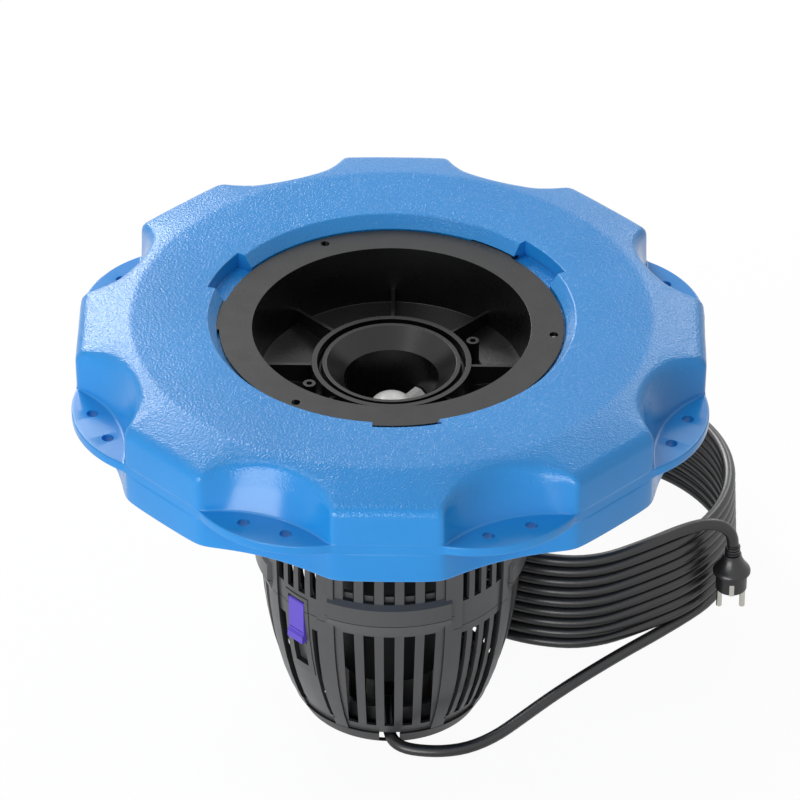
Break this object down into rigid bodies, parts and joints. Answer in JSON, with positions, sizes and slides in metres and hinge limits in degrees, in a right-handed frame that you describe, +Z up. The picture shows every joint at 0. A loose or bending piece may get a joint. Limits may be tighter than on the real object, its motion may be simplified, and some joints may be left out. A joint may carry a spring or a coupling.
{
  "type": "splash aerator",
  "caption": "Floating splash aerator: lobed float, splash bowl with throat and propeller, canned motor in a slotted strainer basket with latches, and a coiled mains cable with a round-pin plug.",
  "frame": {"origin": "on the pump's axis, at the foot, where it stands on the floor", "axes": "+Z up along the pump's and the propeller's axis; the cable leaves the basket towards -Y; +X is to the right of a viewer who stands on the -Y side and looks along +Y"},
  "size_m": [0.5449, 0.5729, 0.368],
  "materials": {
    "float_plastic": "blue moulded float, fine grain, satin",
    "black_plastic": "black moulded, satin",
    "latch_plastic": "violet blue moulded, satin",
    "propeller_plastic": "white moulded",
    "seal_rubber": "black rubber",
    "cable_rubber": "black sheath, satin",
    "screw_steel": "stainless",
    "motor_steel": "stainless can",
    "shaft_steel": "ground shaft",
    "core_steel": "stacked sheet steel",
    "winding": "enamelled copper wire",
    "magnet_dark": "ferrite magnet",
    "bush_plastic": "water-lubricated bushing",
    "pin_brass": "nickel-plated brass"
  },
  "bodies": {
    "pump": {"bowl": "black_plastic", "throat_ring": "black_plastic", "throat_seal": "seal_rubber", "throat_screws": "screw_steel", "strainer_upper": "black_plastic", "strainer_lower": "black_plastic", "strainer_screws": "screw_steel", "latch_pins": "screw_steel", "base_cap": "black_plastic", "motor_buffers": "seal_rubber", "motor_can": "motor_steel", "motor_cover": "black_plastic", "motor_screws": "screw_steel", "rotor_can": "motor_steel", "bearing_lower": "bush_plastic", "bearing_upper": "bush_plastic", "thrust_washer": "bush_plastic", "stator_core": "core_steel", "stator_coils": "winding", "cable_gland": "black_plastic", "cable_sleeve": "cable_rubber", "cable_lead": "cable_rubber", "cable_coil": "cable_rubber", "cable_tail": "cable_rubber", "plug_body": "cable_rubber", "plug_pins": "pin_brass", "plug_earth": "pin_brass"},
    "float": {"float_shell": "float_plastic"},
    "rotor": {"shaft": "shaft_steel", "rotor_magnet": "magnet_dark", "propeller": "propeller_plastic", "propeller_cap": "propeller_plastic"},
    "left_latch": {"latch_left": "latch_plastic"},
    "right_latch": {"latch_right": "latch_plastic"}
  },
  "joints": [
    {"name": "float_twist", "type": "hinge", "parent": "pump", "child": "float", "pos_m": [0, 0, 0.356], "axis": [0, 0, 1], "range_deg": [0, 19.3]},
    {"name": "rotor_spin", "type": "hinge", "parent": "pump", "child": "rotor", "pos_m": [0, 0, 0.2], "axis": [0, 0, 1], "continuous": true},
    {"name": "latch_left_swing", "type": "hinge", "parent": "pump", "child": "left_latch", "pos_m": [-0.07269, -0.07269, 0.1412], "axis": [-0.7071, 0.7071, 0], "range_deg": [0, 70]},
    {"name": "latch_right_swing", "type": "hinge", "parent": "pump", "child": "right_latch", "pos_m": [0.07269, 0.07269, 0.1412], "axis": [0.7071, -0.7071, 0], "range_deg": [0, 70]}
  ]
}
